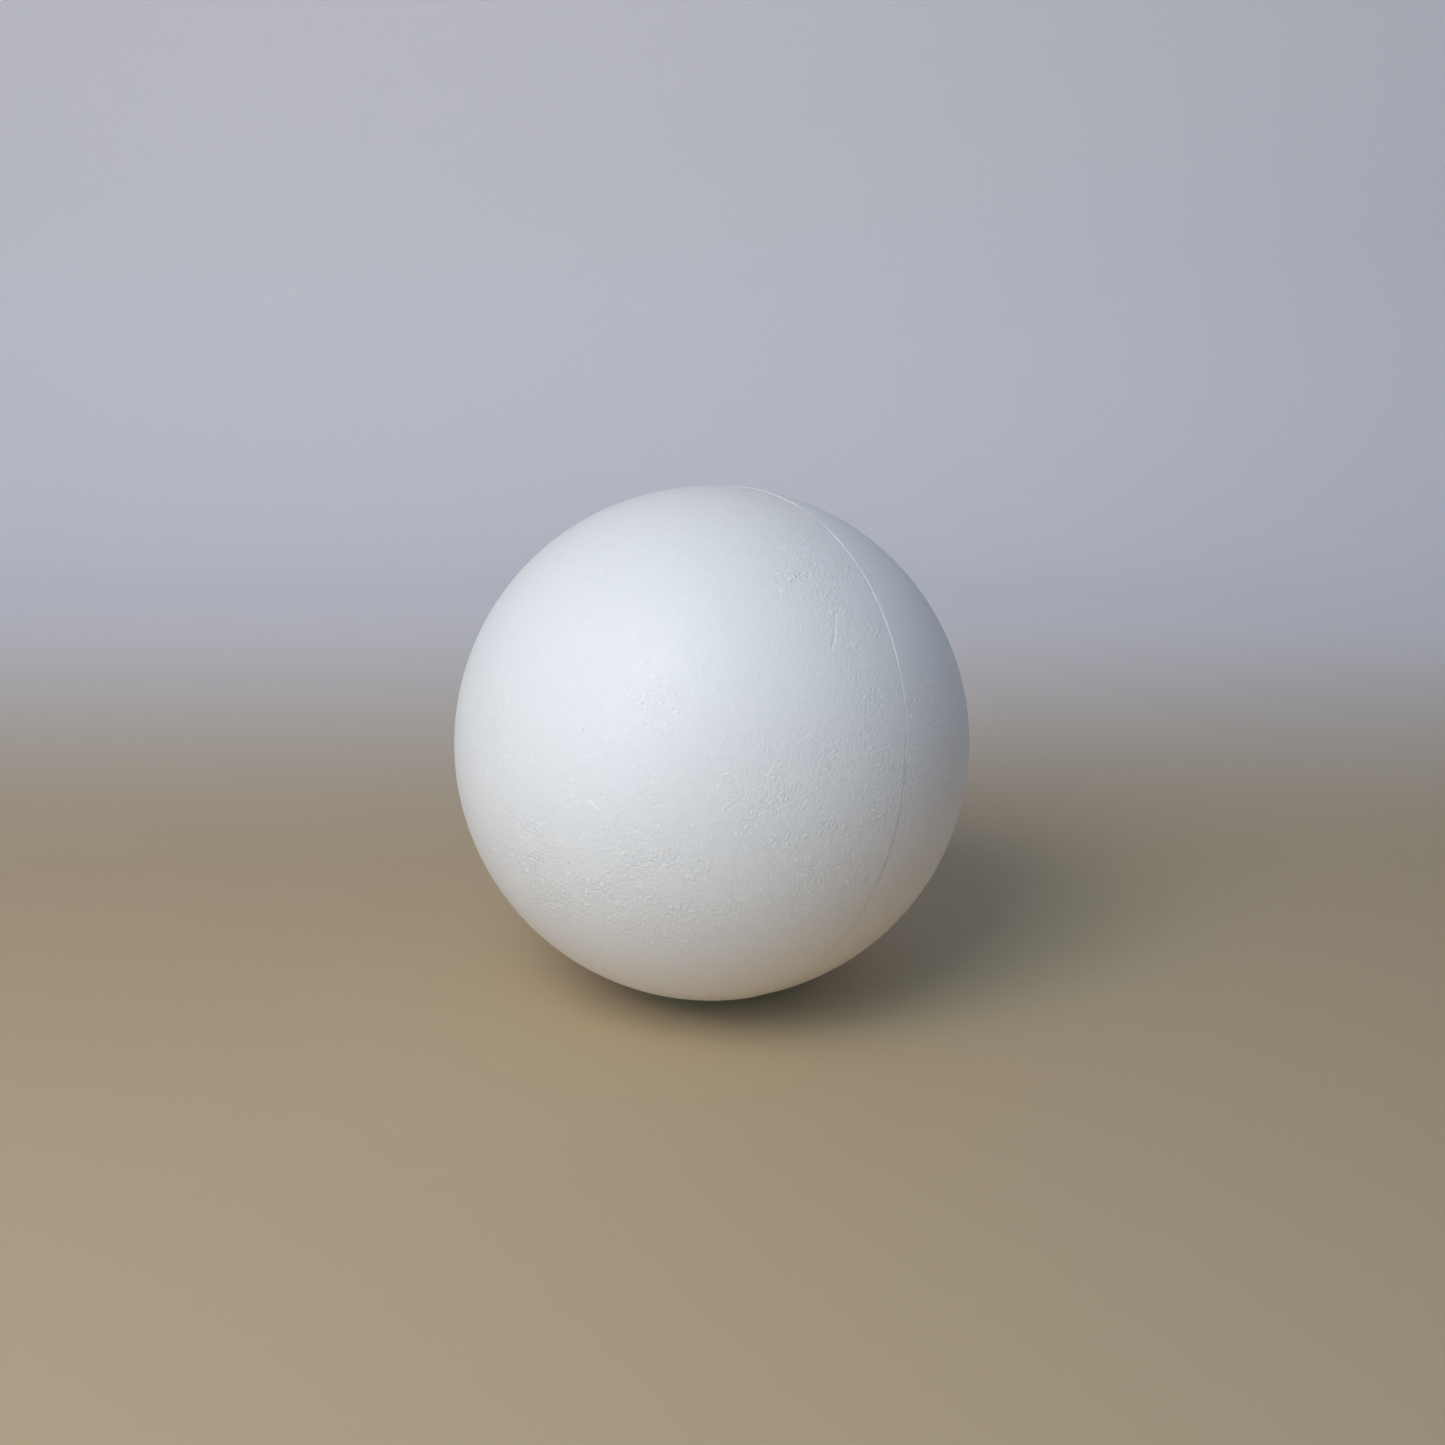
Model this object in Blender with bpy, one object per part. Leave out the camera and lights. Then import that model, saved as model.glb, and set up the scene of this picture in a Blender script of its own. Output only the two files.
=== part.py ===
"""A polystyrene craft ball, 300 mm across, foamed solid in one piece.

The mould was two half bowls that closed on one flat parting plane, and left a fine groove
round the ball where they met. The bowls met a little off line, so the two halves of the
ball are shifted against each other: along the upper part of the parting line the back half
stands proud, along the lower part the front half does. Lengths are in metres. +Z is up as
the ball lies, -Y is its front, and the origin is the ball's centre.
"""
from math import acos, cos, pi, radians, sin

import bmesh
import bpy
from mathutils import Matrix

# The ball
BALL_DIAMETER = 0.300

# The parting line
MOULD_OFFSET = 0.0006
PARTING_GROOVE_WIDTH = 0.0008
PARTING_GROOVE_DEPTH = 0.0003

# How the ball lies: the draw axis is square to the parting plane and points to the back half
DRAW_AXIS_TURN = radians(43.0)
DRAW_AXIS_LEAN = radians(102.5)
MOULD_OFFSET_ROLL = radians(168.0)

# Facets
FACETS_AROUND = 104
FACETS_POLE_TO_RIM = 26

# Points nearer than this share of the groove's depth are one point
MERGE_SHARE = 0.01

# Finish
FOAM_COLOUR = (0.84, 0.86, 0.87, 1.0)
FOAM_ROUGHNESS = 0.4
FOAM_METALLIC = 0.0
SHARP_EDGE_ANGLE = radians(25.0)


def remove_everything():
    for obj in list(bpy.data.objects):
        bpy.data.objects.remove(obj)


def foam_material():
    material = bpy.data.materials.new("foam")
    material.use_nodes = True
    shader = material.node_tree.nodes["Principled BSDF"]
    shader.inputs["Base Color"].default_value = FOAM_COLOUR
    shader.inputs["Roughness"].default_value = FOAM_ROUGHNESS
    shader.inputs["Metallic"].default_value = FOAM_METALLIC
    return material


def add_profile(bm, radius):
    """Half a circle from pole to pole about +Z, with the parting groove at the rim."""
    rim_angle = acos(PARTING_GROOVE_WIDTH / 2 / radius)
    back_angles = [rim_angle * i / FACETS_POLE_TO_RIM for i in range(FACETS_POLE_TO_RIM + 1)]
    front_angles = [pi - angle for angle in reversed(back_angles)]
    back = [(radius * sin(a), 0, radius * cos(a)) for a in back_angles]
    front = [(radius * sin(a), 0, radius * cos(a)) for a in front_angles]
    groove_bottom = (radius - PARTING_GROOVE_DEPTH, 0, 0)
    verts = [bm.verts.new(point) for point in (*back, groove_bottom, *front)]
    edges = [bm.edges.new(pair) for pair in zip(verts, verts[1:])]
    return verts + edges


def turn_profile(bm, profile):
    """Spins the profile a full turn about +Z and closes the seam and the poles."""
    bmesh.ops.spin(
        bm,
        geom=profile,
        cent=(0, 0, 0),
        axis=(0, 0, 1),
        angle=2 * pi,
        steps=FACETS_AROUND,
        use_merge=True,
    )
    bmesh.ops.remove_doubles(bm, verts=bm.verts, dist=PARTING_GROOVE_DEPTH * MERGE_SHARE)
    bmesh.ops.recalc_face_normals(bm, faces=bm.faces)


def shift_halves(bm):
    """Moves the back half along +X and the front half along -X, as the mould stood."""
    beside_groove = PARTING_GROOVE_WIDTH / 4
    back_half = [v for v in bm.verts if v.co.z > beside_groove]
    front_half = [v for v in bm.verts if v.co.z < -beside_groove]
    bmesh.ops.translate(bm, vec=(MOULD_OFFSET / 2, 0, 0), verts=back_half)
    bmesh.ops.translate(bm, vec=(-MOULD_OFFSET / 2, 0, 0), verts=front_half)


def make_ball():
    bm = bmesh.new()
    turn_profile(bm, add_profile(bm, BALL_DIAMETER / 2))
    shift_halves(bm)
    mesh = bpy.data.meshes.new("ball")
    bm.to_mesh(mesh)
    bm.free()
    mesh.shade_smooth()
    mesh.set_sharp_from_angle(angle=SHARP_EDGE_ANGLE)
    mesh.materials.append(foam_material())
    ball = bpy.data.objects.new("ball", mesh)
    bpy.context.scene.collection.objects.link(ball)
    return ball


def lay_ball(ball):
    """Turns the ball from the mould's frame to the way it lies."""
    roll = Matrix.Rotation(MOULD_OFFSET_ROLL, 4, "Z")
    lean = Matrix.Rotation(DRAW_AXIS_LEAN, 4, "Y")
    turn = Matrix.Rotation(DRAW_AXIS_TURN, 4, "Z")
    ball.matrix_world = turn @ lean @ roll


remove_everything()
lay_ball(make_ball())
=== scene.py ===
"""A moulded polystyrene foam ball in a plain pale studio.

The ball's skin is modelled as it forms in the mould: foam beads pressed flat against the
bowls, each a low dome with a fine crease round it, and the parting line of the two bowls,
which sat a little off line. The marks of handling that the photograph shows are pressed
into the same surface. Lengths are in metres, +Z is up and -Y is the front.
"""
from math import atan2, cos, exp, pi, radians, sin, sqrt
from random import Random

import bmesh
import bpy
from bpy.props import FloatProperty, FloatVectorProperty, PointerProperty
from mathutils import Matrix, Vector, noise


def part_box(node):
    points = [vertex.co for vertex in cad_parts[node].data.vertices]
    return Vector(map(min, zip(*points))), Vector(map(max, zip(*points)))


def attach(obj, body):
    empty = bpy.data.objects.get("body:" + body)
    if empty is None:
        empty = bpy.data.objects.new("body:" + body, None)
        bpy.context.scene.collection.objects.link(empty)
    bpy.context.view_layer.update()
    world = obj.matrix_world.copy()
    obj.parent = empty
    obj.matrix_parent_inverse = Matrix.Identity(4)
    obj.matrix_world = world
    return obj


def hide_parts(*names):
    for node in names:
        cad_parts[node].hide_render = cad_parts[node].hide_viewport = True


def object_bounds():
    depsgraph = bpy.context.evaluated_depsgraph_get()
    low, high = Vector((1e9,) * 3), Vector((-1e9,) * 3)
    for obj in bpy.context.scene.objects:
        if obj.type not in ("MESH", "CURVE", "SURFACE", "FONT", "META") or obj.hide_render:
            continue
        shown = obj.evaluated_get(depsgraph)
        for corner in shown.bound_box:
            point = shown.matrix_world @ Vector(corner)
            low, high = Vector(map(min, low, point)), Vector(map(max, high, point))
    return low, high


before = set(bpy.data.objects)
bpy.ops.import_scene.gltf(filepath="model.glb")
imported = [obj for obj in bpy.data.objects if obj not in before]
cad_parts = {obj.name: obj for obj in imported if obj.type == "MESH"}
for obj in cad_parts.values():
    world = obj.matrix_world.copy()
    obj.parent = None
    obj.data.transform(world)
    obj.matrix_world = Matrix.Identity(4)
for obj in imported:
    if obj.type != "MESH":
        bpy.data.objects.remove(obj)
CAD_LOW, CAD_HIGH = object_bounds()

bl_info = {
    "name": "Foam Ball",
    "version": (1, 0, 0),
    "blender": (4, 5, 0),
    "location": "View3D > Sidebar > Foam Ball",
    "description": "Adds a moulded polystyrene foam ball and a plain studio for it",
    "category": "Add Mesh",
}

MM = 0.001
ORIGIN = Vector((0, 0, 0))

# The CAD solid that the detailed ball stands for
BALL_NODE = "ball"
BALL_LOW, BALL_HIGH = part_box(BALL_NODE)
BALL_DIAMETER = sum(BALL_HIGH - BALL_LOW) / 3

# How the ball lies: the draw axis is square to the parting plane and points to the back half
DRAW_AXIS_TURN = radians(43.0)
DRAW_AXIS_LEAN = radians(102.5)
MOULD_OFFSET_ROLL = radians(168.0)


def mould_to_world():
    """Turns the mould's frame, drawn along +Z, to the way the ball lies."""
    roll = Matrix.Rotation(MOULD_OFFSET_ROLL, 4, "Z")
    lean = Matrix.Rotation(DRAW_AXIS_LEAN, 4, "Y")
    turn = Matrix.Rotation(DRAW_AXIS_TURN, 4, "Z")
    return turn @ lean @ roll


# Beads: an icosphere with each edge in n parts has about ICOSPHERE_POINTS * n squared points
BEAD_SEED = 11
ICOSPHERE_POINTS = 10
COARSE_LEVELS = 3
COARSE_FREQUENCY = 2 ** (COARSE_LEVELS - 1)
HEXAGON_SHARE = sqrt(3) / 2
BEAD_SCATTER = 0.55
BEAD_RELAX = 0.22
PROUD_SHARE = 0.012
CREASE_SPREAD = (0.0, 2.0)
CENTRE_MERGE = 1.1 * MM
CORNER_MERGE = 0.3 * MM

# Skin layers of the mesh, read by the material
BEAD_CENTRE = "bead_centre"
BEAD_SHADE = "bead_shade"
BEAD_RISE = "bead_rise"
PEBBLING = "pebbling"
# Painted shade along the open parting groove
SEAM_PAINTED_SHADE = "seam_painted_shade"
FLECK = "fleck"

# Unevenness of the moulded skin, as wave lengths
SWELL_LENGTH = 45 * MM
DIMPLE_LENGTH = 9 * MM
DIMPLE_MIDDLE = 0.5

# How strongly the beads show: a low level all over, unevenly, and more in the places below
PEBBLING_LENGTH = 14 * MM
PEBBLING_MIDDLE = 0.43
PEBBLING_SPREAD = 0.8
PEBBLING_LEAST = 0.15
BEAD_RELIEF_MOST = 1.0

# The parting line: rings of edges beside it, and how it wanders
RING_DISTANCES = (0.16 * MM, 0.42 * MM, 0.8 * MM, 1.5 * MM)
RING_SNAP = 0.03 * MM
RING_REACH = 5 * MM
WANDER_REACH = 6 * MM
WANDER_ENDS = 4 * WANDER_REACH
WANDER_TURNS = 5.0
WANDER_GAIN = 2.0
RAGGED_TURNS = 60.0
RAGGED_WANDER = 0.25
RAGGED_DEPTH = 0.6

# How much wider the step between the halves gets where it is rubbed down altogether
WORN_SPREAD = 0.6 * MM

# The groove is shallow where the back half stands proud and opens where the front half does,
# and painted shade darkens it and the skin close beside it there, where the proud front edge
# shades it
GROOVE_LEAST = 0.3
SEAM_PAINTED_SHADE_REACH = 1.1 * MM
SEAM_PAINTED_SHADE_FALL = 1.5

# Long edges are divided under each mark and this far outside it, and each mark has a low lip,
# whose place is a share of the mark's half width
MARK_REACH = 1.2 * MM
MARK_CUTS = 4
MARK_EDGE = 1.0 * MM
LIP_SHARE = 0.14
LIP_MIDDLE = 1.25
LIP_HALF_WIDTH = 0.75
LIP_END = LIP_MIDDLE + LIP_HALF_WIDTH

# The skin's texture, in turns to the metre
CLOUD_SCALE = 28.0
CLOUD_DETAIL = 3.0
CELL_SCALE = 1400.0
GRAIN_SCALE = 640.0
TIP_SCALE = 350.0

# Shares of black that the bead's own shade, clouds, painted shade in the creases and painted
# shade in the parting groove put in the colour
SHADE_TONE = 0.012
CLOUD_TONE = 0.02
# Painted shade in the creases between beads
CREASE_PAINTED_SHADE = 0.015
SEAM_PAINTED_SHADE_TONE = 0.19

# Shares of the light fleck colour that specks and bright bead tips put in, as painted glints
SPECK_GLINT_SHARE = 0.5
TIP_GLINT_SHARE = 0.6

# What creases, the bead's own shade and clouds add to the roughness
CREASE_ROUGHNESS = 0.15
SHADE_ROUGHNESS = 0.1
CLOUD_ROUGHNESS = 0.08

# How light passes through the foam
FOAM_IOR = 1.5
LIGHT_LEAK = 0.15
LIGHT_LEAK_REACH = 3 * MM

# Heights of the bump texture, in millimetres
DOME_HEIGHT = 0.08
CREASE_HEIGHT = 0.02
GRAIN_HEIGHT = 0.08
SPECK_HEIGHT = 0.12
TIP_HEIGHT = 0.12
CELL_HEIGHT = 0.006

# Where the crease starts between a bead's middle and its border, from which value up the grain
# is a speck or a bright tip, and the most that pebbling adds to the tips
CREASE_START = 0.84
SPECK_START = 0.6
SPECK_FULL = 0.69
TIP_START = 0.7
TIP_FULL = 0.77
TIPS_MOST = 1.0


class Patch:
    """A round patch of skin that fades outward, at a heading and a height in degrees."""

    def __init__(self, heading, height, reach, strength):
        self.middle = direction(heading, height)
        self.reach = reach
        self.strength = strength

    def share(self, place, radius):
        distance = (place - self.middle).length * radius
        return self.strength * exp(-(distance / self.reach) ** 2)


class Mark:
    """A mark pressed into the skin along a short line, given as headings and heights in degrees.

    A heading is measured from -Y towards +X, and a height from level to straight up.
    A negative depth stands proud.
    """

    def __init__(self, start, end, width, depth):
        self.start = direction(*start)
        self.end = direction(*end)
        self.middle = (self.start + self.end).normalized()
        self.half_width = width / 2
        self.depth = depth

    def near_cosine(self, radius, reach):
        """Directions whose cosine with the middle is smaller lie further off than the reach."""
        return cos(self.middle.angle(self.start) + reach / radius)

    def distance(self, place, radius):
        """How far a direction on the ball is from the mark's line."""
        a = self.start * radius
        along = self.end * radius - a
        share = (place * radius - a).dot(along) / along.length_squared
        nearest = a + along * min(1.0, max(0.0, share))
        return (place * radius - nearest).length


def direction(heading, height):
    """The unit vector to a heading and a height, both in degrees."""
    heading, height = radians(heading), radians(height)
    return Vector((sin(heading) * cos(height), -cos(heading) * cos(height), sin(height)))


class BallSizes(bpy.types.PropertyGroup):
    diameter: FloatProperty(
        name="Diameter",
        description="Across the ball, before the skin's relief",
        default=BALL_DIAMETER,
        unit="LENGTH",
    )
    bead_spacing: FloatProperty(
        name="Bead Spacing",
        description="From one foam bead's middle to the next",
        default=3.45 * MM,
        unit="LENGTH",
    )
    crease_depth: FloatProperty(
        name="Crease Depth",
        description="How far the skin dips between beads",
        default=0.07 * MM,
        unit="LENGTH",
    )
    bead_unevenness: FloatProperty(
        name="Bead Unevenness",
        description="How far single beads sink below the others",
        default=0.17 * MM,
        unit="LENGTH",
    )
    bead_pride: FloatProperty(
        name="Bead Pride",
        description="How far the few proud beads stand above the others",
        default=0.2 * MM,
        unit="LENGTH",
    )
    swell: FloatProperty(
        name="Swell",
        description="Long, low unevenness of the moulded skin",
        default=0.05 * MM,
        unit="LENGTH",
    )
    dimples: FloatProperty(
        name="Dimples",
        description="Short, low unevenness of the moulded skin",
        default=0.04 * MM,
        unit="LENGTH",
    )
    mould_offset: FloatProperty(
        name="Mould Offset",
        description="How far the two bowls of the mould sat off line",
        default=0.6 * MM,
        unit="LENGTH",
    )
    groove_depth: FloatProperty(
        name="Groove Depth",
        description="Depth of the fine groove along the parting line",
        default=0.3 * MM,
        unit="LENGTH",
    )
    line_wander: FloatProperty(
        name="Line Wander",
        description="How far the parting line strays from a plane",
        default=0.35 * MM,
        unit="LENGTH",
    )


class BallFinish(bpy.types.PropertyGroup):
    colour: FloatVectorProperty(
        name="Foam Colour",
        description="Colour of the moulded skin",
        default=(0.84, 0.86, 0.87),
        subtype="COLOR",
        size=3,
        min=0,
        max=1,
    )
    # The crumbs' own colour, and a painted glint on specks and bead tips
    crumb_and_glint_colour: FloatVectorProperty(
        name="Fleck Colour",
        description="Colour of the crumbs and of the bead tips that catch the light",
        default=(0.97, 0.97, 0.97),
        subtype="COLOR",
        size=3,
        min=0,
        max=1,
    )
    roughness: FloatProperty(
        name="Roughness",
        description="How matt the pressed skin is",
        default=0.4,
        subtype="FACTOR",
        min=0,
        max=1,
    )


class StudioSettings(bpy.types.PropertyGroup):
    floor_colour: FloatVectorProperty(
        name="Floor Colour",
        description="Colour of the floor as it is seen",
        default=(0.49, 0.39, 0.245),
        subtype="COLOR",
        size=3,
        min=0,
        max=1,
    )
    bounce_colour: FloatVectorProperty(
        name="Bounce Colour",
        description="Colour of the floor in the light that it throws back on the ball",
        default=(0.60, 0.40, 0.18),
        subtype="COLOR",
        size=3,
        min=0,
        max=1,
    )
    wall_colour: FloatVectorProperty(
        name="Wall Colour",
        description="Colour of the backdrop behind the ball",
        default=(0.80, 0.78, 0.80),
        subtype="COLOR",
        size=3,
        min=0,
        max=1,
    )


def all_geometry(faces):
    """The faces with their edges and vertices, as bisect_plane takes them."""
    edges = {e for f in faces for e in f.edges}
    verts = {v for f in faces for v in f.verts}
    return [*faces, *edges, *verts]


def put_on_sphere(bm, radius):
    """Moves every point straight out or in to the even ball."""
    for v in bm.verts:
        v.co = v.co.normalized() * radius


def scatter_bead_centres(bm, radius, spacing):
    """An even net of bead centres over the ball, then a little disorder, as beads pack."""
    bmesh.ops.create_icosphere(bm, subdivisions=COARSE_LEVELS, radius=radius)
    beads = 4 * pi * radius ** 2 / (HEXAGON_SHARE * spacing ** 2)
    frequency = sqrt(beads / ICOSPHERE_POINTS)
    cuts = round(frequency / COARSE_FREQUENCY) - 1
    bmesh.ops.subdivide_edges(bm, edges=bm.edges, cuts=cuts, use_grid_fill=True)
    put_on_sphere(bm, radius)
    chance = Random(BEAD_SEED)
    for v in bm.verts:
        push = Vector([chance.uniform(-1, 1) for _ in range(3)])
        v.co += push * BEAD_SCATTER * spacing
    put_on_sphere(bm, radius)
    bmesh.ops.smooth_vert(
        bm, verts=bm.verts, factor=BEAD_RELAX, use_axis_x=True, use_axis_y=True, use_axis_z=True
    )
    put_on_sphere(bm, radius)
    bmesh.ops.beautify_fill(bm, faces=bm.faces, edges=bm.edges, method="ANGLE")
    bmesh.ops.remove_doubles(bm, verts=bm.verts, dist=CENTRE_MERGE)


def draw_bead_borders(bm, radius, sizes):
    """Turns the net inside out: each centre gets a fan of faces, and edges run between beads."""
    centre_layer = bm.verts.layers.float[BEAD_CENTRE]
    shade_layer = bm.faces.layers.float[BEAD_SHADE]
    rise_layer = bm.verts.layers.float[BEAD_RISE]
    centres = list(bm.verts)
    spokes = list(bm.edges)
    corners = bmesh.ops.poke(bm, faces=bm.faces)["verts"]
    bmesh.ops.rotate_edges(bm, edges=spokes)
    put_on_sphere(bm, radius)
    bmesh.ops.remove_doubles(bm, verts=corners, dist=CORNER_MERGE)
    corners = [v for v in corners if v.is_valid]
    chance = Random(BEAD_SEED)
    for centre in centres:
        centre[centre_layer] = 1.0
        centre[rise_layer] = -sizes.bead_unevenness * chance.random() ** 2
        centre[rise_layer] += sizes.bead_pride * (chance.random() < PROUD_SHARE)
        shade = chance.random()
        for face in centre.link_faces:
            face[shade_layer] = shade
    for corner in corners:
        corner[rise_layer] = -sizes.crease_depth * chance.uniform(*CREASE_SPREAD)


def cut_parting_rings(bm):
    """Adds rings of edges beside the parting plane, which is level in the mould's frame."""
    for distance in RING_DISTANCES:
        for height in (distance, -distance):
            faces = [f for f in bm.faces if abs(f.verts[0].co.z) < RING_REACH]
            bmesh.ops.bisect_plane(
                bm,
                geom=all_geometry(faces),
                dist=RING_SNAP,
                plane_co=(0, 0, height),
                plane_no=(0, 0, 1),
            )
    bmesh.ops.triangulate(bm, faces=bm.faces)


def refine_marks(bm, marks, radius):
    """Divides the faces under each mark, so that its edges can be modelled."""
    put_on_sphere(bm, radius)
    for mark in marks:
        reach = mark.half_width + MARK_REACH
        nearest = mark.near_cosine(radius, reach) * radius
        edges = [e for e in bm.edges if e.verts[0].co.dot(mark.middle) > nearest]
        edges = [e for e in edges if e.calc_length() > MARK_EDGE]
        edges = [e for e in edges if mark.distance(e.verts[0].co.normalized(), radius) < reach]
        bmesh.ops.subdivide_edges(bm, edges=edges, cuts=MARK_CUTS, use_grid_fill=True)
        many_sided = [f for f in bm.faces if len(f.verts) > 3]
        bmesh.ops.triangulate(bm, faces=many_sided)
        put_on_sphere(bm, radius)


def bump_profile(share):
    """A round-shouldered pit across its half width: 1 in the middle, 0 at the edge and beyond."""
    return (1 - share * share) ** 2 if share < 1 else 0.0


def mark_relief(place, marks, radius):
    """How far the marks move the skin along its normal, with a low lip beside each, and how
    much of a crumb lies there."""
    relief = 0.0
    crumb = 0.0
    for mark in marks:
        if place.dot(mark.middle) < mark.near_cosine(radius, LIP_END * mark.half_width):
            continue
        share = mark.distance(place, radius) / mark.half_width
        relief -= mark.depth * bump_profile(share)
        from_lip = abs(share - LIP_MIDDLE) / LIP_HALF_WIDTH
        relief += mark.depth * LIP_SHARE * bump_profile(from_lip)
        if mark.depth < 0:
            crumb = max(crumb, bump_profile(share))
    return relief, crumb


def opening(local):
    """0 where the back half of the ball stands proud, 1 where the front half does."""
    return (1 - cos(atan2(local.y, local.x))) / 2


def seam_painted_shade(local):
    """How much painted shade darkens the parting groove at a point in the mould's frame."""
    return opening(local) ** SEAM_PAINTED_SHADE_FALL * bump_profile(abs(local.z) / SEAM_PAINTED_SHADE_REACH)


def parting_shift(local, rubbed, sizes):
    """The mould's offset, the groove and the line's wander at a point in the mould's frame."""
    turn = atan2(local.y, local.x)
    ring = Vector((cos(turn), sin(turn), 0))
    height = local.z
    fade = exp(-(height / WANDER_REACH) ** 2)
    half_step = RING_DISTANCES[0] + rubbed * WORN_SPREAD
    side = max(-1.0, min(1.0, height / half_step))
    step = sizes.mould_offset * (1 - rubbed * fade)
    shift = Vector((side * step / 2, 0, 0))
    if abs(height) > WANDER_ENDS:
        return shift
    wander = noise.noise(ring * WANDER_TURNS) * WANDER_GAIN * sizes.line_wander
    ragged = noise.noise(ring * RAGGED_TURNS)
    shift.z += fade * (wander + RAGGED_WANDER * ragged * sizes.line_wander)
    depth = sizes.groove_depth * (GROOVE_LEAST + (1 - GROOVE_LEAST) * opening(local))
    depth *= 1 + RAGGED_DEPTH * ragged
    groove = depth * bump_profile(abs(height) / RING_DISTANCES[1])
    return shift - ring * groove


def pebbled_places():
    """Where the mould left the beads standing out."""
    return [
        Patch(37.1, 51.6, 26 * MM, 1.1),
        Patch(42.0, 37.3, 20 * MM, 0.2),
        Patch(39.0, 80.1, 17 * MM, 0.3),
        Patch(35.0, 23.2, 25 * MM, 0.3),
        Patch(39.8, 1.5, 29 * MM, 0.4),
        Patch(12.0, 5.6, 33 * MM, 0.7),
        Patch(-13.5, 27.5, 15 * MM, 0.8),
        Patch(-14.7, -15.3, 38 * MM, 1.2),
        Patch(-42.3, -15.9, 30 * MM, 1.9),
        Patch(25.9, -13.7, 29 * MM, 0.7),
        Patch(60.0, 12.0, 24 * MM, 0.9),
        Patch(-57.0, 12.0, 22 * MM, 0.8),
    ]


def worn_places():
    """Where the parting line is rubbed down, with the share of its step that is gone."""
    return [
        Patch(75.5, 67.0, 17 * MM, 0.72),
        Patch(58.5, 51.0, 14 * MM, 0.4),
    ]


def press_skin(bm, sizes, marks):
    """Moves every point of the even ball to where the mould and the handling left it."""
    radius = sizes.diameter / 2
    rise_layer = bm.verts.layers.float[BEAD_RISE]
    pebbling_layer = bm.verts.layers.float[PEBBLING]
    seam_shade_layer = bm.verts.layers.float[SEAM_PAINTED_SHADE]
    fleck_layer = bm.verts.layers.float[FLECK]
    to_world = mould_to_world().to_3x3()
    to_mould = to_world.inverted()
    pebbled = pebbled_places()
    worn = worn_places()
    for v in bm.verts:
        place = v.co.normalized()
        pebbling = 1 + PEBBLING_SPREAD * noise.noise(place * radius / PEBBLING_LENGTH)
        pebbling *= PEBBLING_MIDDLE + sum(p.share(place, radius) for p in pebbled)
        v[pebbling_layer] = max(PEBBLING_LEAST, pebbling)
        relief = v[rise_layer] * min(v[pebbling_layer], BEAD_RELIEF_MOST)
        relief += sizes.swell * noise.noise(place * radius / SWELL_LENGTH)
        relief += sizes.dimples * (noise.noise(place * radius / DIMPLE_LENGTH) - DIMPLE_MIDDLE)
        pressed, v[fleck_layer] = mark_relief(place, marks, radius)
        relief += pressed
        rubbed = sum(p.share(place, radius) for p in worn)
        local = to_mould @ (place * radius)
        # Painted shade along the open parting groove, where the front half stands proud
        v[seam_shade_layer] = seam_painted_shade(local)
        v.co = place * (radius + relief) + to_world @ parting_shift(local, rubbed, sizes)


def handling_marks():
    """The scratches, nicks and pits on the front of the ball."""
    return [
        # The long scratch and its hooked lower end
        Mark((36.6, 42.2), (33.9, 38.2), 2.5 * MM, 0.18 * MM),
        Mark((33.9, 38.2), (32.5, 36.0), 2.5 * MM, 0.2 * MM),
        Mark((32.1, 36.1), (31.4, 34.9), 2.3 * MM, 0.2 * MM),
        # A faint scratch near the right limb
        Mark((64.9, 19.1), (57.4, 14.0), 1.9 * MM, 0.24 * MM),
        # The raised nick on the lower left
        Mark((-25.2, 4.2), (-23.3, 2.6), 1.7 * MM, -0.1 * MM),
        # The pinhole on the left
        Mark((-27.9, 18.4), (-27.8, 18.0), 1.4 * MM, 1.2 * MM),
        # Pits below the middle, and a crumb beside them
        Mark((-2.4, -6.9), (-1.9, -7.1), 2.2 * MM, 0.27 * MM),
        Mark((-10.9, 4.9), (-10.3, 4.9), 2.2 * MM, 0.15 * MM),
        Mark((-4.7, -10.2), (-4.4, -10.4), 1.9 * MM, -0.3 * MM),
        # Crumbs of foam that stuck to the skin
        Mark((-7.6, 23.5), (-7.3, 23.6), 2.2 * MM, -0.35 * MM),
        Mark((39.6, 51.9), (39.8, 51.8), 2.0 * MM, -0.35 * MM),
        Mark((27.7, 52.0), (27.9, 52.1), 2.0 * MM, -0.35 * MM),
        Mark((48.8, 17.3), (49.2, 16.9), 1.8 * MM, -0.3 * MM),
        Mark((67.7, 25.7), (68.2, 25.4), 2.1 * MM, -0.35 * MM),
        # The crack in the parting line
        Mark((45.4, 12.0), (44.6, 8.6), 1.2 * MM, 0.4 * MM),
    ]


def parting_flash():
    """The run of thin flash that was left on the parting line."""
    return [
        Mark((53.4, 39.2), (51.3, 32.7), 1.2 * MM, -0.14 * MM),
        Mark((51.3, 32.7), (49.9, 28.0), 1.2 * MM, -0.12 * MM),
        Mark((49.9, 28.0), (47.6, 20.3), 1.0 * MM, -0.06 * MM),
    ]


def node(tree, kind, **settings):
    """A new node of a material, with its settings."""
    made = tree.nodes.new(kind)
    for name, value in settings.items():
        setattr(made, name, value)
    return made


def wire(tree, *links):
    """Joins pairs of an output and an input."""
    for start, end in links:
        tree.links.new(start, end)


def attribute(tree, name):
    """A skin layer of the mesh."""
    return node(tree, "ShaderNodeAttribute", attribute_name=name).outputs["Fac"]


def smooth_step(tree, value, low, high):
    """0 where a value is below a low one, 1 above a high one, and smooth between."""
    made = node(tree, "ShaderNodeMapRange", interpolation_type="SMOOTHSTEP")
    made.inputs["From Min"].default_value = low
    made.inputs["From Max"].default_value = high
    tree.links.new(value, made.inputs["Value"])
    return made.outputs["Result"]


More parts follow.
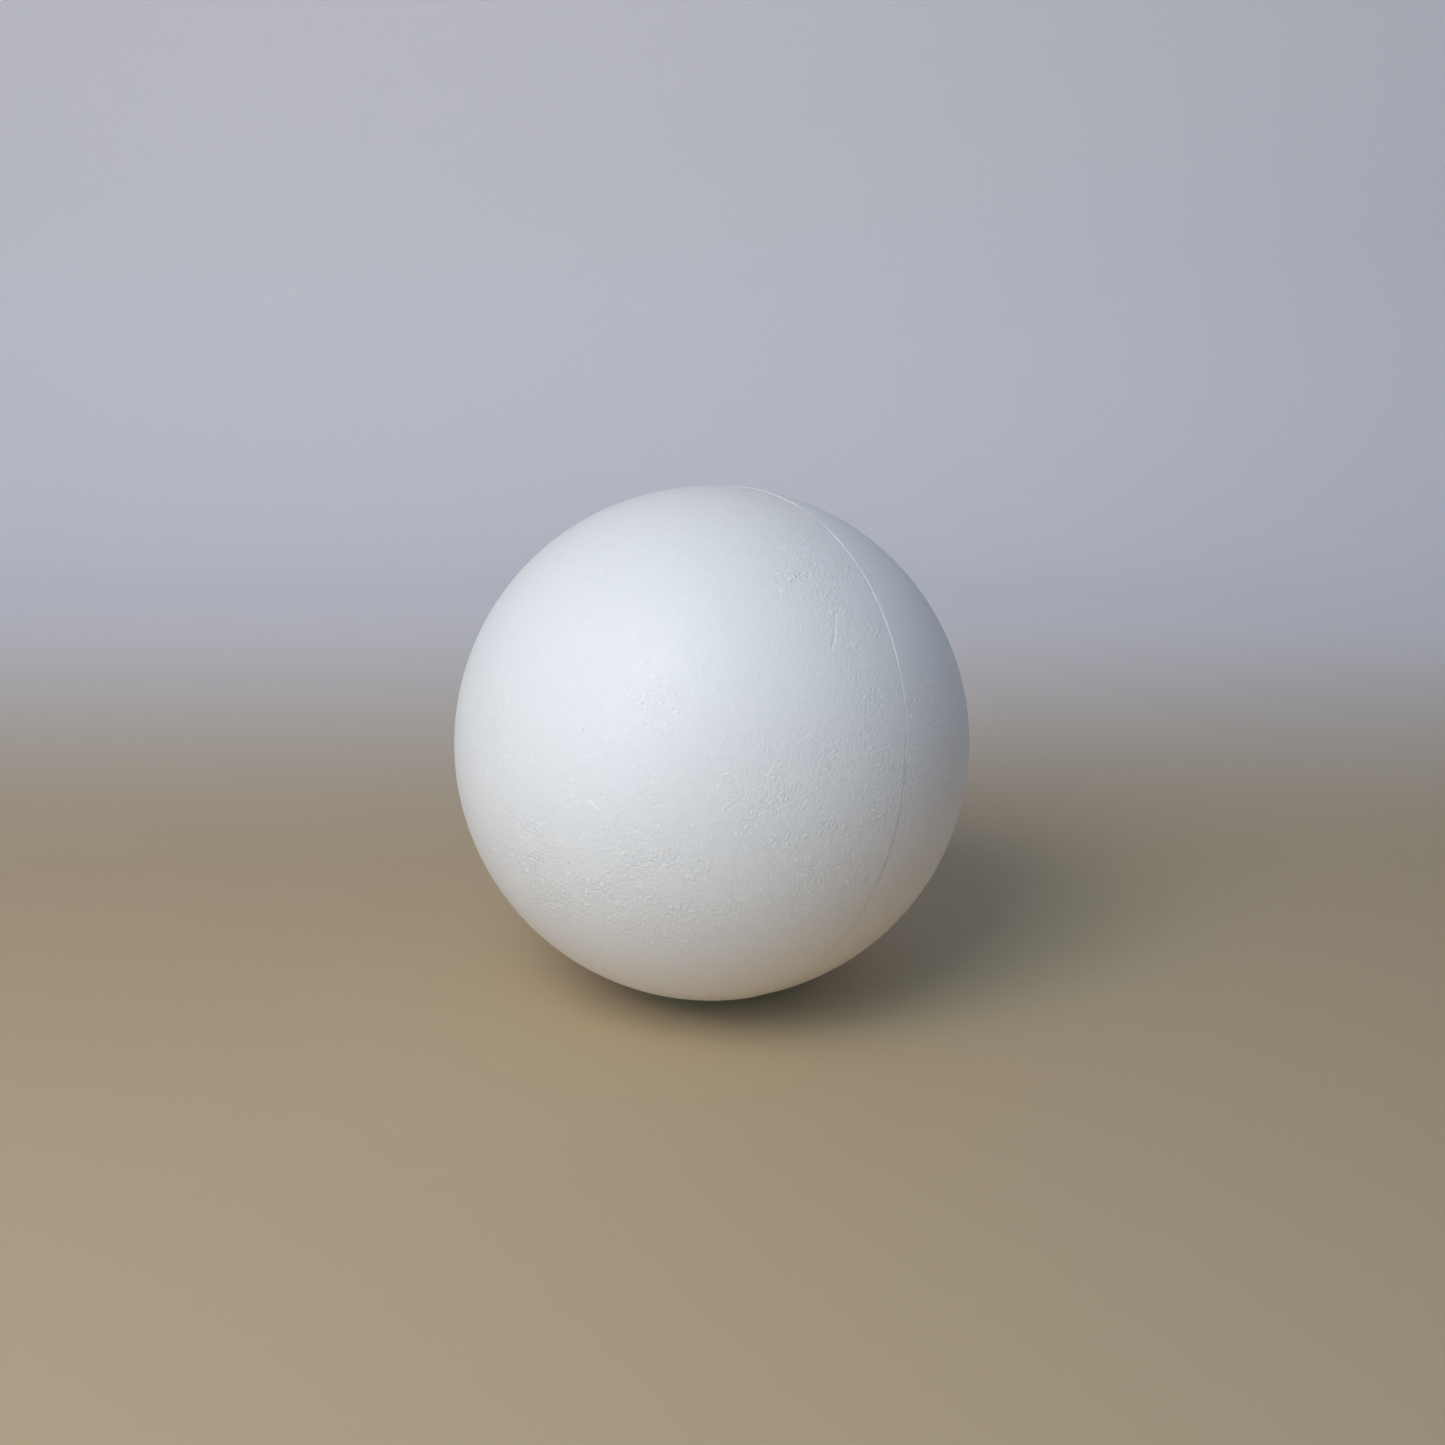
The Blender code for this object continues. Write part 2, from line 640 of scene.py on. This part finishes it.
def math_node(tree, operation, *values):
    """An operation on numbers or on the outputs of other nodes."""
    made = node(tree, "ShaderNodeMath", operation=operation)
    for socket, value in zip(made.inputs, values):
        if isinstance(value, (int, float)):
            socket.default_value = value
        else:
            tree.links.new(value, socket)
    return made.outputs["Value"]


def weighted_sum(tree, *terms):
    """The sum of values, each times its own weight."""
    total = 0.0
    for value, weight in terms:
        total = math_node(tree, "MULTIPLY_ADD", value, weight, total)
    return total


def grain(tree, scale, detail):
    """Noise over the ball's own coordinates; scale is in turns to the metre."""
    made = node(tree, "ShaderNodeTexNoise")
    made.inputs["Scale"].default_value = scale
    made.inputs["Detail"].default_value = detail
    place = node(tree, "ShaderNodeTexCoord")
    tree.links.new(place.outputs["Object"], made.inputs["Vector"])
    return made.outputs["Fac"]


def foam_material(finish):
    """Pressed foam skin: low domes and creases, a fine cell grain and a soft sheen."""
    material = bpy.data.materials.new("pressed foam")
    material.use_nodes = True
    tree = material.node_tree
    shader = tree.nodes["Principled BSDF"]
    to_border = math_node(tree, "SUBTRACT", 1.0, attribute(tree, BEAD_CENTRE))
    shade = attribute(tree, BEAD_SHADE)
    pebbling = attribute(tree, PEBBLING)
    crease = smooth_step(tree, to_border, CREASE_START, 1.0)
    clouds = grain(tree, CLOUD_SCALE, CLOUD_DETAIL)
    cells = grain(tree, CELL_SCALE, 1.0)
    pores = grain(tree, GRAIN_SCALE, 1.0)
    specks = smooth_step(tree, pores, SPECK_START, SPECK_FULL)
    tips = smooth_step(tree, grain(tree, TIP_SCALE, 0.0), TIP_START, TIP_FULL)
    tips = math_node(tree, "MULTIPLY", tips, math_node(tree, "MINIMUM", pebbling, TIPS_MOST))

    # Painted shade in the parting groove
    painted_seam_shade = attribute(tree, SEAM_PAINTED_SHADE)
    # Random bead and cloud tone, with painted shade in the bead creases and in the parting groove
    tone = weighted_sum(
        tree, (shade, SHADE_TONE), (clouds, CLOUD_TONE), (crease, CREASE_PAINTED_SHADE), (painted_seam_shade, SEAM_PAINTED_SHADE_TONE)
    )
    toned = node(tree, "ShaderNodeMix", data_type="RGBA", clamp_factor=True)
    toned.inputs["A"].default_value = (*finish.colour, 1)
    toned.inputs["B"].default_value = (0, 0, 0, 1)
    # Painted glints on specks and bead tips, and the crumbs' own lighter colour
    crumbs_and_glints = weighted_sum(tree, (specks, SPECK_GLINT_SHARE), (tips, TIP_GLINT_SHARE))
    crumbs_and_glints = math_node(tree, "MULTIPLY", crumbs_and_glints, pebbling)
    crumbs_and_glints = math_node(tree, "MAXIMUM", attribute(tree, FLECK), crumbs_and_glints)
    crumb_and_glint_mix = node(tree, "ShaderNodeMix", data_type="RGBA", clamp_factor=True)
    crumb_and_glint_mix.inputs["B"].default_value = (*finish.crumb_and_glint_colour, 1)
    wire(
        tree,
        (tone, toned.inputs["Factor"]),
        (toned.outputs["Result"], crumb_and_glint_mix.inputs["A"]),
        (crumbs_and_glints, crumb_and_glint_mix.inputs["Factor"]),
        (crumb_and_glint_mix.outputs["Result"], shader.inputs["Base Color"]),
    )

    rough = weighted_sum(
        tree, (crease, CREASE_ROUGHNESS), (shade, SHADE_ROUGHNESS), (clouds, CLOUD_ROUGHNESS)
    )
    tree.links.new(math_node(tree, "ADD", finish.roughness, rough), shader.inputs["Roughness"])

    dome = math_node(tree, "POWER", to_border, 2.0)
    pebbles = weighted_sum(
        tree,
        (dome, -DOME_HEIGHT),
        (crease, -CREASE_HEIGHT),
        (pores, GRAIN_HEIGHT),
        (specks, SPECK_HEIGHT),
        (tips, TIP_HEIGHT),
    )
    pebbles = math_node(tree, "MULTIPLY", pebbles, pebbling)
    height = weighted_sum(tree, (pebbles, 1.0), (cells, CELL_HEIGHT))
    bump = node(tree, "ShaderNodeBump")
    bump.inputs["Strength"].default_value = 1.0
    bump.inputs["Distance"].default_value = MM
    wire(tree, (height, bump.inputs["Height"]), (bump.outputs["Normal"], shader.inputs["Normal"]))

    shader.inputs["IOR"].default_value = FOAM_IOR
    shader.inputs["Subsurface Weight"].default_value = LIGHT_LEAK
    shader.inputs["Subsurface Radius"].default_value = (1.0, 1.0, 1.0)
    shader.inputs["Subsurface Scale"].default_value = LIGHT_LEAK_REACH
    return material


def plain_material(name, colour, roughness):
    """A material of one colour."""
    material = bpy.data.materials.new(name)
    material.use_nodes = True
    shader = material.node_tree.nodes["Principled BSDF"]
    shader.inputs["Base Color"].default_value = (*colour, 1)
    shader.inputs["Roughness"].default_value = roughness
    return material


def object_from(bm, name, material):
    """Ends a bmesh as a smooth object that sits at the origin."""
    mesh = bpy.data.meshes.new(name)
    bm.to_mesh(mesh)
    bm.free()
    mesh.shade_smooth()
    mesh.materials.append(material)
    made = bpy.data.objects.new(name, mesh)
    bpy.context.scene.collection.objects.link(made)
    return made


class OBJECT_OT_add_foam_ball(bpy.types.Operator):
    """Add the ball with its bead skin, parting line and marks"""

    bl_idname = "object.add_foam_ball"
    bl_label = "Add Foam Ball"

    def execute(self, context):
        sizes = context.scene.foam_ball_sizes
        radius = sizes.diameter / 2
        bm = bmesh.new()
        for name in (BEAD_CENTRE, BEAD_RISE, PEBBLING, SEAM_PAINTED_SHADE, FLECK):
            bm.verts.layers.float.new(name)
        bm.faces.layers.float.new(BEAD_SHADE)
        scatter_bead_centres(bm, radius, sizes.bead_spacing)
        draw_bead_borders(bm, radius, sizes)
        cut_parting_rings(bm)
        bmesh.ops.transform(bm, matrix=mould_to_world(), verts=bm.verts)
        marks = handling_marks()
        refine_marks(bm, marks, radius)
        press_skin(bm, sizes, marks + parting_flash())
        ball = object_from(bm, "foam_ball", foam_material(context.scene.foam_ball_finish))
        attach(ball, "root")
        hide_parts(BALL_NODE)
        return {"FINISHED"}


# The picture that the camera is set up for, in its own pixels
PICTURE_WIDTH = 1445
FOCAL_LENGTH_PX = 2130
BALL_CENTRE_PX = (711.9, 742.4)
CAMERA_PITCH = radians(17.08)
CAMERA_DISTANCE = 8.328
SENSOR_WIDTH = 36.0

# The studio: a floor that turns up into a wall, coloured as a wall from TURN_START on
FLOOR_HEIGHT = CAD_LOW.z
STUDIO_WIDTH = 8.0
FLOOR_FRONT = -4.0
SWEEP_START = 1.0
SWEEP_RADIUS = 0.35
WALL_TOP = 3.0
SWEEP_STEPS = 24
WALL_GLOW = 0.06
TURN_START = 0.15
STUDIO_ROUGHNESS = 0.7
SEAM_MERGE = 0.1 * MM

# The lamps: square softboxes of one size, all as far from the ball
LAMP_SIZE = 1.0
LAMP_DISTANCE = 1.8

# The light from all round
WORLD_STRENGTH = 0.365
WORLD_COLOUR = (0.565, 0.724, 1.0)


def camera_place():
    """Where the camera stands for the ball to lie where the picture has it."""
    across = (BALL_CENTRE_PX[0] - PICTURE_WIDTH / 2) / FOCAL_LENGTH_PX
    down = (BALL_CENTRE_PX[1] - PICTURE_WIDTH / 2) / FOCAL_LENGTH_PX
    forward = Vector((0, cos(CAMERA_PITCH), -sin(CAMERA_PITCH)))
    up = Vector((0, sin(CAMERA_PITCH), cos(CAMERA_PITCH)))
    sight = (forward + Vector((1, 0, 0)) * across - up * down).normalized()
    return -sight * CAMERA_DISTANCE * BALL_DIAMETER / 2


def add_camera():
    """The camera that the picture was taken with."""
    data = bpy.data.cameras.new("camera")
    data.sensor_width = SENSOR_WIDTH
    data.lens = FOCAL_LENGTH_PX / PICTURE_WIDTH * SENSOR_WIDTH
    camera = bpy.data.objects.new("camera", data)
    camera.location = camera_place()
    camera.rotation_euler = (pi / 2 - CAMERA_PITCH, 0, 0)
    bpy.context.scene.collection.objects.link(camera)
    bpy.context.scene.camera = camera


def add_sweep(settings):
    """A floor that curves up into a wall behind the ball, swept from one edge."""
    bm = bmesh.new()
    half = STUDIO_WIDTH / 2
    ends = [bm.verts.new((x, FLOOR_FRONT, FLOOR_HEIGHT)) for x in (-half, half)]
    edge = bm.edges.new(ends)
    flat = bmesh.ops.extrude_edge_only(bm, edges=[edge])["geom"]
    verts = [g for g in flat if isinstance(g, bmesh.types.BMVert)]
    bmesh.ops.translate(bm, vec=(0, SWEEP_START - FLOOR_FRONT, 0), verts=verts)
    edges = [g for g in flat if isinstance(g, bmesh.types.BMEdge)]
    front = [e for e in edges if all(v in verts for v in e.verts)]
    turned = bmesh.ops.spin(
        bm,
        geom=front,
        cent=(0, SWEEP_START, FLOOR_HEIGHT + SWEEP_RADIUS),
        axis=(1, 0, 0),
        angle=pi / 2,
        steps=SWEEP_STEPS,
    )["geom_last"]
    edges = [g for g in turned if isinstance(g, bmesh.types.BMEdge)]
    wall = bmesh.ops.extrude_edge_only(bm, edges=edges)["geom"]
    verts = [g for g in wall if isinstance(g, bmesh.types.BMVert)]
    bmesh.ops.translate(bm, vec=(0, 0, WALL_TOP), verts=verts)
    bmesh.ops.remove_doubles(bm, verts=bm.verts, dist=SEAM_MERGE)
    bmesh.ops.recalc_face_normals(bm, faces=bm.faces)
    sweep = object_from(bm, "studio_sweep", sweep_material(settings))


def sweep_material(settings):
    """Warm pale floor that turns to a cool pale wall where it curves up."""
    material = plain_material("studio", settings.floor_colour, STUDIO_ROUGHNESS)
    tree = material.node_tree
    place = node(tree, "ShaderNodeTexCoord")
    split = node(tree, "ShaderNodeSeparateXYZ")
    floor = node(tree, "ShaderNodeMix", data_type="RGBA", clamp_factor=True)
    floor.inputs["A"].default_value = (*settings.bounce_colour, 1)
    floor.inputs["B"].default_value = (*settings.floor_colour, 1)
    mix = node(tree, "ShaderNodeMix", data_type="RGBA")
    mix.inputs["B"].default_value = (*settings.wall_colour, 1)
    tree.links.new(place.outputs["Object"], split.inputs["Vector"])
    share = smooth_step(tree, split.outputs["Y"], TURN_START, SWEEP_START)
    rays = node(tree, "ShaderNodeLightPath").outputs
    seen = math_node(tree, "ADD", rays["Is Camera Ray"], rays["Is Glossy Ray"])
    seen = math_node(tree, "MAXIMUM", seen, rays["Is Transmission Ray"])
    glow = math_node(tree, "MULTIPLY", math_node(tree, "MULTIPLY", seen, share), WALL_GLOW)
    shader = tree.nodes["Principled BSDF"]
    wire(
        tree,
        (seen, floor.inputs["Factor"]),
        (floor.outputs["Result"], mix.inputs["A"]),
        (share, mix.inputs["Factor"]),
        (mix.outputs["Result"], shader.inputs["Base Color"]),
        (mix.outputs["Result"], shader.inputs["Emission Color"]),
        (glow, shader.inputs["Emission Strength"]),
    )
    return material


def add_softbox(name, heading, height, power, colour):
    """A square area lamp that faces the ball, at a heading and a height in degrees."""
    data = bpy.data.lights.new(name, "AREA")
    data.shape = "SQUARE"
    data.size = LAMP_SIZE
    data.energy = power
    data.color = colour
    lamp = bpy.data.objects.new(name, data)
    lamp.location = direction(heading, height) * LAMP_DISTANCE
    lamp.rotation_euler = (ORIGIN - lamp.location).to_track_quat("-Z", "Y").to_euler()
    bpy.context.scene.collection.objects.link(lamp)


def set_world():
    """An even, cool light from all round."""
    world = bpy.data.worlds.new("studio")
    world.use_nodes = True
    background = world.node_tree.nodes["Background"]
    background.inputs["Color"].default_value = (*WORLD_COLOUR, 1)
    background.inputs["Strength"].default_value = WORLD_STRENGTH
    bpy.context.scene.world = world


class SCENE_OT_set_ball_studio(bpy.types.Operator):
    """Set the camera, the sweep and the lamps for the ball"""

    bl_idname = "scene.set_ball_studio"
    bl_label = "Set Ball Studio"

    def execute(self, context):
        settings = context.scene.foam_ball_studio
        add_camera()
        add_sweep(settings)
        add_softbox("key", -30, 45, 15.2, (0.93, 0.985, 0.975))
        add_softbox("cool_fill", -40, 5, 10.0, (0.46, 0.72, 1.0))
        add_softbox("warm_fill", -50, 45, 4.8, (1.0, 0.44, 0.02))
        set_world()
        context.scene.view_settings.view_transform = "Standard"
        return {"FINISHED"}


class VIEW3D_PT_foam_ball(bpy.types.Panel):
    """Sizes, finish and studio of the foam ball"""

    bl_label = "Foam Ball"
    bl_space_type = "VIEW_3D"
    bl_region_type = "UI"
    bl_category = "Foam Ball"

    def draw(self, context):
        for group in ("foam_ball_sizes", "foam_ball_finish", "foam_ball_studio"):
            settings = getattr(context.scene, group)
            box = self.layout.box()
            for name in settings.bl_rna.properties.keys():
                if name not in ("rna_type", "name"):
                    box.prop(settings, name)
        self.layout.operator("object.add_foam_ball")
        self.layout.operator("scene.set_ball_studio")


CLASSES = (
    BallSizes,
    BallFinish,
    StudioSettings,
    OBJECT_OT_add_foam_ball,
    SCENE_OT_set_ball_studio,
    VIEW3D_PT_foam_ball,
)
GROUPS = {
    "foam_ball_sizes": BallSizes,
    "foam_ball_finish": BallFinish,
    "foam_ball_studio": StudioSettings,
}


def register():
    for cls in CLASSES:
        bpy.utils.register_class(cls)
    for name, group in GROUPS.items():
        setattr(bpy.types.Scene, name, PointerProperty(type=group))


def unregister():
    for name in GROUPS:
        delattr(bpy.types.Scene, name)
    for cls in reversed(CLASSES):
        bpy.utils.unregister_class(cls)


def main():
    register()
    bpy.ops.object.add_foam_ball()
    bpy.ops.scene.set_ball_studio()


if __name__ == "__main__":
    main()
